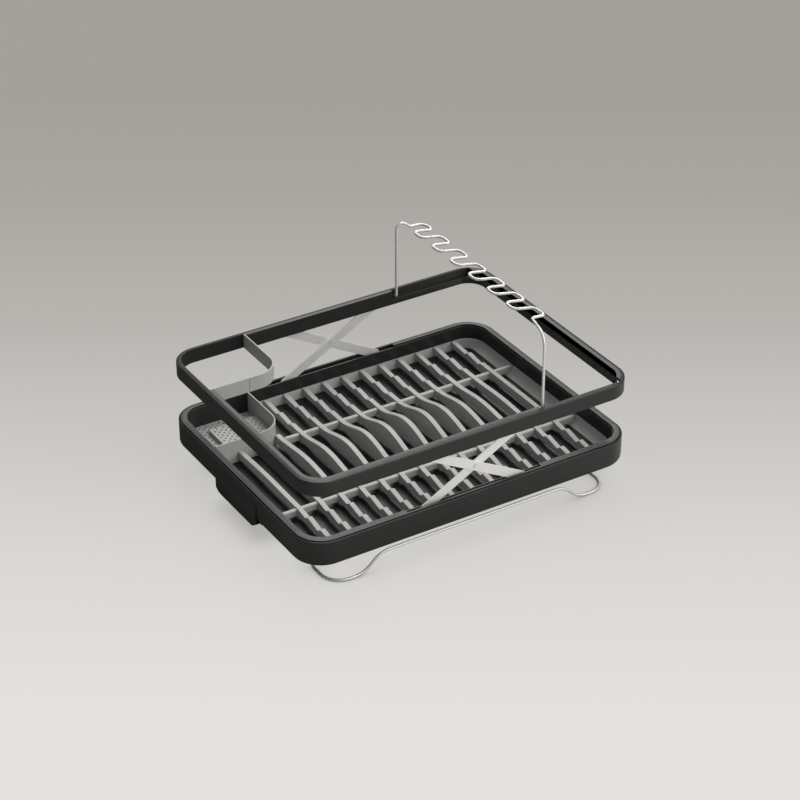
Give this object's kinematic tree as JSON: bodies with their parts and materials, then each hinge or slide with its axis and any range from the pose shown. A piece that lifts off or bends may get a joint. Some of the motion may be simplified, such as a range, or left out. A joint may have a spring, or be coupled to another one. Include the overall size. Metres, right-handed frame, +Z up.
{
  "type": "countertop dish rack",
  "caption": "Raised rectangular drying tray with a ribbed plate mat, cutlery corner, folding frame on scissor links, wire glass holder, wire feet and drain spout.",
  "frame": {"origin": "centre of the bounding box's footprint on the counter, at the underside of the foot wires", "axes": "+X along the long side, away from the drain spout; +Y towards the back, where the cutlery corner is; +Z up"},
  "size_m": [0.5358, 0.408, 0.2869],
  "materials": {
    "black_plastic": "fine satin texture",
    "grey_plastic": "satin",
    "bright_steel": "bright drawn wire and rolled strip"
  },
  "bodies": {
    "tray": {"tray_outer_shell": "black_plastic", "tray_inner_tub": "black_plastic", "spout_rail_front": "black_plastic", "spout_rail_back": "black_plastic", "mat_frame": "grey_plastic", "mat_fin_01": "grey_plastic", "mat_fin_02": "grey_plastic", "mat_fin_03": "grey_plastic", "mat_fin_04": "grey_plastic", "mat_fin_05": "grey_plastic", "mat_fin_06": "grey_plastic", "mat_fin_07": "grey_plastic", "mat_fin_08": "grey_plastic", "mat_fin_09": "grey_plastic", "mat_fin_10": "grey_plastic", "mat_fin_11": "grey_plastic", "mat_fin_12": "grey_plastic", "mat_fin_13": "grey_plastic", "mat_fin_14": "grey_plastic", "cutlery_cup_wall": "grey_plastic", "cutlery_drain_plate": "grey_plastic", "foot_wire_front": "bright_steel", "foot_wire_back": "bright_steel"},
    "spout": {"drain_spout": "black_plastic"},
    "outer_link_front": {"link_front_outer": "bright_steel", "pin_front_outer_frame": "bright_steel", "pin_front_outer_tray": "bright_steel", "rivet_front": "bright_steel"},
    "inner_link_front": {"link_front_inner": "bright_steel", "pin_front_inner_frame": "bright_steel", "pin_front_inner_tray": "bright_steel"},
    "outer_link_back": {"link_back_outer": "bright_steel", "pin_back_outer_frame": "bright_steel", "pin_back_outer_tray": "bright_steel", "rivet_back": "bright_steel"},
    "inner_link_back": {"link_back_inner": "bright_steel", "pin_back_inner_frame": "bright_steel", "pin_back_inner_tray": "bright_steel"},
    "frame": {"upper_frame": "black_plastic", "cutlery_band_side": "grey_plastic", "cutlery_band_front": "grey_plastic"},
    "glass_holder": {"glass_holder_wire": "bright_steel"}
  },
  "joints": [
    {"name": "frame_fold", "type": "hinge", "parent": "tray", "child": "outer_link_front", "pos_m": [0.0809, -0.197, 0.0722], "axis": [0, -1, 0], "range_deg": [0, 23.71]},
    {"name": "front_cross", "type": "hinge", "parent": "outer_link_front", "child": "inner_link_front", "pos_m": [0.0019, -0.195, 0.1152], "axis": [0, -1, 0], "range_deg": [-47.42, 0]},
    {"name": "frame_level", "type": "hinge", "parent": "inner_link_front", "child": "frame", "pos_m": [0.0809, -0.195, 0.1582], "axis": [0, -1, 0], "range_deg": [0, 23.71]},
    {"name": "back_link", "type": "hinge", "parent": "tray", "child": "outer_link_back", "pos_m": [0.0809, 0.197, 0.0722], "axis": [0, -1, 0], "range_deg": [0, 23.71]},
    {"name": "back_cross", "type": "hinge", "parent": "outer_link_back", "child": "inner_link_back", "pos_m": [0.0019, 0.195, 0.1152], "axis": [0, -1, 0], "range_deg": [-47.42, 0]},
    {"name": "holder_fold", "type": "hinge", "parent": "frame", "child": "glass_holder", "pos_m": [0.1149, 0, 0.1632], "axis": [0, 1, 0], "range_deg": [0, 84]},
    {"name": "spout_slide", "type": "slide", "parent": "tray", "child": "spout", "axis": [-1, 0, 0], "range_m": [0, 0.06]}
  ],
  "couplings": [
    {"joint": "front_cross", "follows": "frame_fold", "ratio": -2},
    {"joint": "frame_level", "follows": "frame_fold", "ratio": 1},
    {"joint": "back_link", "follows": "frame_fold", "ratio": 1},
    {"joint": "back_cross", "follows": "frame_fold", "ratio": -2}
  ]
}
